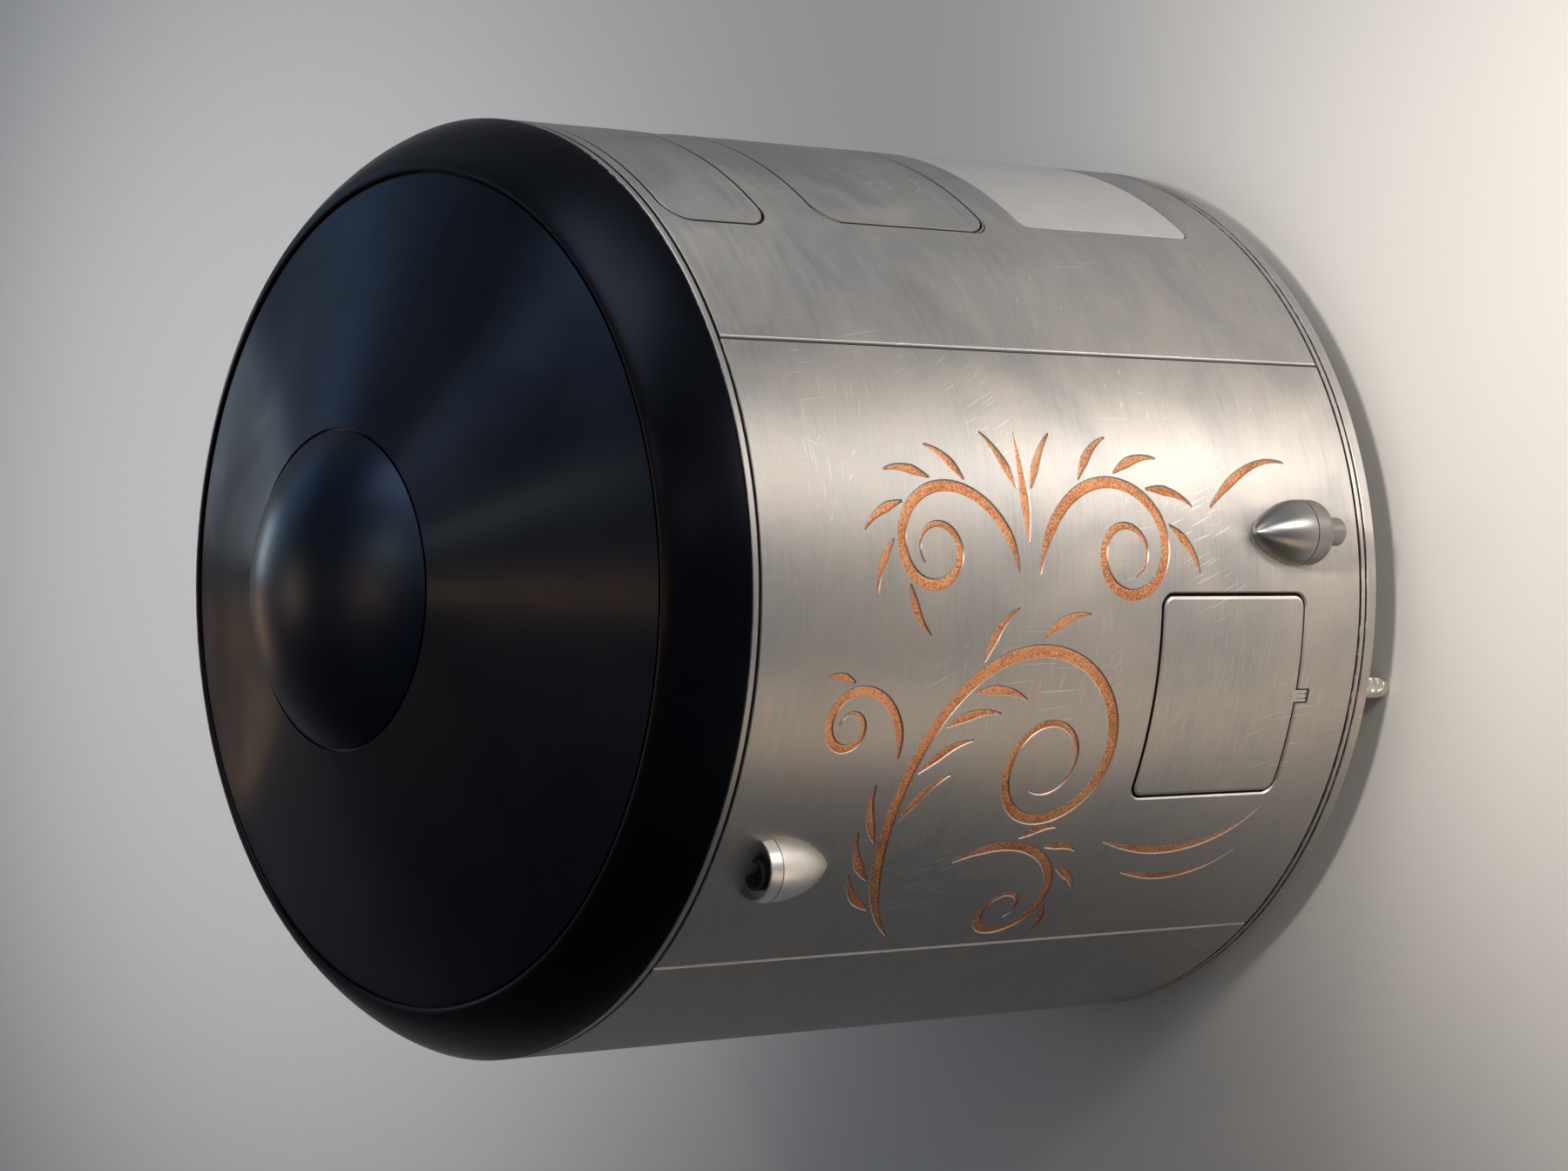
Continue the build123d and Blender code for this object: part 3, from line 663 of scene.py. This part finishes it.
def radiator_enamel():
    """Satin pale grey enamel with light dust and a few rubbed marks."""
    enamel = Finish("radiator_enamel", enamel_grey, 0.0, 0.45)
    dust = enamel.noise((2.2, 2.2, 2.2), detail=6.0, rough=0.6)
    marks = enamel.hairlines((0.6, 0.6, 11.0), (0, 40, 20), 0.002, 0.55)
    base = enamel.blend(enamel.span(dust, 0.3, 0.7), enamel_grey, enamel_dust)
    enamel.set("Base Color", enamel.blend(enamel.math("MULTIPLY", marks, 0.4), base, enamel_rub))
    enamel.set("Roughness", enamel.span(dust, 0.3, 0.7, 0.38, 0.55))
    enamel.bump(enamel.noise((140.0, 140.0, 140.0), detail=2.0), 0.05, 0.001)
    return enamel.material


def turned_steel(name, colour, roughness, gleam):
    """Machined steel with fine tool lines across Z and a little staining."""
    steel = Finish(name, colour, 1.0, roughness, Anisotropic=gleam)
    steel.gleam_along((0, 0, 1))
    lines = steel.noise((6.0, 6.0, 900.0), detail=3.0, rough=0.6)
    stain = steel.noise((9.0, 9.0, 9.0), detail=5.0, rough=0.6)
    darker = tuple(0.72 * c for c in colour)
    steel.set("Base Color", steel.blend(steel.span(stain, 0.35, 0.65, 0.0, 0.35), colour, darker))
    steel.set("Roughness", steel.span(stain, 0.3, 0.7, roughness - 0.05, roughness + 0.08))
    steel.bump(lines, 0.08, 0.0006)
    return steel.material


def nozzle_soot():
    """Matt black, slightly grainy throat of a thruster."""
    soot = Finish("nozzle_soot", soot_black, 0.0, 0.6)
    grain = soot.noise((160.0, 160.0, 160.0), detail=4.0, rough=0.6)
    soot.set("Base Color", soot.blend(soot.span(grain, 0.3, 0.7), soot_black, soot_grain))
    soot.bump(grain, 0.3, 0.001)
    return soot.material


def structure_primer():
    """Primed alloy structure inside the cabin, with brush clouding."""
    primer = Finish("structure_primer", primer_grey, 0.0, 0.5)
    clouds = primer.noise((3.0, 3.0, 3.0), detail=6.0, rough=0.6)
    primer.set("Base Color", primer.blend(primer.span(clouds, 0.3, 0.7), primer_grey, primer_light))
    primer.set("Roughness", primer.span(clouds, 0.3, 0.7, 0.42, 0.6))
    primer.bump(primer.noise((60.0, 60.0, 60.0), detail=3.0), 0.08, 0.001)
    return primer.material


def inlay_copper():
    """Cast copper with a coarse grain of light and dark grit."""
    copper = Finish("inlay_copper", copper_light, 1.0, 0.42)
    grit = copper.noise((125.0, 125.0, 125.0), detail=2.0, rough=0.6)
    clouds = copper.noise((6.0, 6.0, 6.0), detail=4.0)
    shade = copper.math("ADD", copper.math("MULTIPLY", grit, 0.7), copper.math("MULTIPLY", clouds, 0.3))
    copper.set("Base Color", copper.blend(copper.span(shade, 0.40, 0.58), copper_dark, copper_light))
    copper.set("Roughness", copper.span(grit, 0.3, 0.7, 0.32, 0.55))
    copper.bump(grit, 0.8, 0.002)
    return copper.material


def stage_floor():
    """A plain pale floor under the capsule."""
    half = floor_half
    mesh = bpy.data.meshes.new("floor")
    corners = [(-half, -half, 0), (half, -half, 0), (half, half, 0), (-half, half, 0)]
    mesh.from_pydata(corners, [], [(0, 1, 2, 3)])
    floor = placed_piece("floor", mesh)
    mesh.materials.append(Finish("floor_paper", floor_grey, 0.0, 0.8).material)


def placed_lamp(name, kind, place, target, power, colour):
    """A lamp at a place, facing a target, and out of the camera's own sight."""
    lamp = bpy.data.lights.new(name, kind)
    lamp.energy = power
    lamp.color = colour
    holder = bpy.data.objects.new(name, lamp)
    holder.location = place
    holder.rotation_euler = (Vector(target) - Vector(place)).to_track_quat("-Z", "Y").to_euler()
    holder.visible_camera = False
    scene.collection.objects.link(holder)
    return lamp


def softbox(name, place, target, size, power, colour):
    """A square area lamp with its side in metres and its power in watts."""
    placed_lamp(name, "AREA", place, target, power, colour).size = size


def soft_spot(name, place, target, cone, power, colour, radius=0.4):
    """A spot lamp whose edge fades out, with its cone in degrees and its power in watts."""
    lamp = placed_lamp(name, "SPOT", place, target, power, colour)
    lamp.spot_size = radians(cone)
    lamp.spot_blend = 1.0
    lamp.shadow_soft_size = radius


def studio_world(dark, light, strength):
    """A surround that runs evenly from a dark side at -X to a light side at +X."""
    world = bpy.data.worlds.new("studio")
    scene.world = world
    world.use_nodes = True
    tree = world.node_tree
    where = tree.nodes.new("ShaderNodeTexCoord")
    axes = tree.nodes.new("ShaderNodeSeparateXYZ")
    shade = tree.nodes.new("ShaderNodeMapRange")
    shade.inputs["From Min"].default_value = -1.0
    mix = tree.nodes.new("ShaderNodeMix")
    mix.data_type = "RGBA"
    mix.inputs[6].default_value = (*dark, 1.0)
    mix.inputs[7].default_value = (*light, 1.0)
    background = tree.nodes["Background"]
    background.inputs["Strength"].default_value = strength
    tree.links.new(where.outputs["Generated"], axes.inputs[0])
    tree.links.new(axes.outputs["X"], shade.inputs["Value"])
    tree.links.new(shade.outputs[0], mix.inputs[0])
    tree.links.new(mix.outputs[2], background.inputs["Color"])


finishes = {
    "hull_steel": brushed_hull_steel("brushed_hull_steel", hull_gap_start),
    "heat_shield": nose_paint("nose_paint", 0.92, nose_blue, nose_black),
    "radiator_white": radiator_enamel(),
    "pod_steel": turned_steel("pod_steel", pod_bright, 0.38, 0.2),
    "nozzle_black": nozzle_soot(),
    "stud_chrome": turned_steel("stud_steel", stud_bright, 0.2, 0.5),
    "machined_steel": turned_steel("machined_steel", machined_grey, 0.3, 0.7),
    "structure_alloy": structure_primer(),
}

# Every CAD node takes the finish of its slot in the record
for subpart in frame["record"]["subparts"]:
    node = frame["nodes"][subpart["node"]]
    node.data.materials.clear()
    node.data.materials.append(finishes[subpart["material_slot"]])

# The dome, the shoulder and the two aft pods then take one of their own
dome_paint = nose_paint("dome_paint", 0.0, nose_blue, nose_black)
frame["nodes"]["nose_dome"].data.materials[0] = dome_paint
# The shoulder takes a darker copy of the nose paint: painted shade
shaded_shoulder_paint = nose_paint("shaded_shoulder_paint", 0.7, shaded_shoulder_blue, shaded_shoulder_black)
frame["nodes"]["nose_shoulder"].data.materials[0] = shaded_shoulder_paint
# The aft pods take a darker copy of the pod steel: painted shade
aft_pod_shaded_steel = turned_steel("aft_pod_shaded_steel", pod_shaded_grey, 0.33, 0.7)
for part in ("pod_shell", "pod_collar", "pod_nozzle"):
    for number in (1, 3):
        frame["nodes"][f"{part}_{number}"].data.materials[0] = aft_pod_shaded_steel
# The same steel round the covers, whose painted shade in the gaps starts just under the skin
cover_steel = brushed_hull_steel("brushed_cover_steel", cover_gap_start)

# The skin, the door and the covers with their edges eased, and the scroll cut into the skin
strokes = scroll_strokes()
channel_profile = [
    (-1, -channel_lip - cutter_rise, cutter_rise), (-1, 0, -channel_lip), (-1, 0, -channel_depth),
    (1, 0, -channel_depth), (1, 0, -channel_lip), (1, channel_lip + cutter_rise, cutter_rise),
]
skin_cuts = {"port_panel": [closed_solid(stroke_section(line, channel_profile)) for line in strokes]}
for plate, panel, facing, gap, *edges in flush_plates:
    own, opening = plate_cutters(plate, facing, gap, *edges)
    skin_cuts.setdefault(panel, []).append(opening)
    skin_cuts[plate] = [own]
for clock, side, panels, lip in seam_lips:
    for panel in panels:
        skin_cuts.setdefault(panel, []).append(seam_cutter(clock, side, lip))
for node_name, solids in skin_cuts.items():
    piece = cut_copy(node_name, node_name + "_finished", solids)
    body = "hatch" if node_name == "hatch_door" else "hull"
    slot = "radiator_white" if node_name == "radiator_panel" else "hull_steel"
    fine_gaps = node_name in ("top_panel", "main_cover", "forward_cover")
    piece.data.materials.append(cover_steel if fine_gaps else finishes[slot])
    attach(piece, body)
    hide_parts(node_name)

for number, clock in enumerate(stud_clocks, start=1):
    stud = knurled_stud(f"stud_{number}_knurled", clock)
    stud.data.materials.append(finishes["stud_chrome"])
    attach(stud, "hull")
    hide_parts(f"stud_{number}")

inlay_profile = [
    (-1, inlay_play, -channel_depth + inlay_play), (1, -inlay_play, -channel_depth + inlay_play),
    (1, -inlay_play, -inlay_sink - inlay_edge_drop), (inlay_flat, 0, -inlay_sink),
    (-inlay_flat, 0, -inlay_sink), (-1, inlay_play, -inlay_sink - inlay_edge_drop),
]
strips = [closed_solid(stroke_section(line, inlay_profile)) for line in strokes]
inlay = joined_piece("scroll_inlay", strips)
inlay.data.materials.append(inlay_copper())
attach(inlay, "hull")

# The stage: each lamp's place, what it faces, its side or cone, its power and its colour
stage_floor()
studio_world(studio_dark, studio_light, studio_strength)
softbox("key_light", (5.1, -6.5, 1.6), (0, 0, 1.2), 2.8, 128, (1.0, 0.95, 0.89))
soft_spot("aft_glow", (4.8, -6.2, 1.4), (0.9, -1.55, 0.2), 48, 560, (1.0, 0.95, 0.89))
softbox("warm_light", (-1.2, -5.5, 1.0), (0, -1.8, 0.9), 1.6, 15, (1.0, 0.78, 0.54))
soft_spot("floor_light", (2.4, -4.0, 7.0), (2.4, -4.0, 0), 80, 1800, (1.0, 0.94, 0.86))
soft_spot("floor_fill", (-1.5, 7.0, 8.5), (-1.5, 7.0, 0), 78, 1500, (0.97, 0.98, 1.0))
for side, x, y, power in (("high", 14.5, 0, 1500), ("low", -14.5, 0, 700), ("near", 0, -14.5, 1200)):
    soft_spot(f"floor_fill_{side}", (x, y, 9.0), (x, y, 0), 112, power, (0.98, 0.98, 1.0))
softbox("overhead", (7.0, 0.5, 8.0), (1.2, 0, 1.0), 5.0, 240, (0.94, 0.97, 1.0))
softbox("nose_light", (-1.2, 11.9, 4.9), (0, 0, 3.7), 2.4, 42, (0.80, 0.93, 1.0))
softbox("nose_blue_light", (1.5, 11.3, 7.4), (0, 0, 3.7), 5.2, 42, (0.22, 0.56, 1.0))
softbox("nose_warm_light", (-4.0, 11.3, 4.6), (0, 0, 3.7), 2.4, 20, (1.0, 0.58, 0.28))
soft_spot("dome_light", (-1.9, 7.4, 10.2), (0, 0, 4.1), 20, 370, (1.0, 0.62, 0.34), radius=1.5)
soft_spot("nose_zenith_light", (0, -0.3, 12.5), (0, -0.3, 4.0), 26, 280, (1.0, 0.42, 0.14))
soft_spot("nose_high_light", (3.2, -0.9, 12.4), (0, 0, 4.0), 26, 290, (1.0, 0.96, 0.62))

camera_data = bpy.data.cameras.new("photo_view")
camera_data.lens = camera_lens
camera_data.clip_end = camera_reach
camera = bpy.data.objects.new("photo_view", camera_data)
camera.location = camera_place
camera.rotation_euler = [radians(a) for a in camera_turn]
scene.collection.objects.link(camera)
scene.camera = camera
scene.view_settings.view_transform = "Standard"
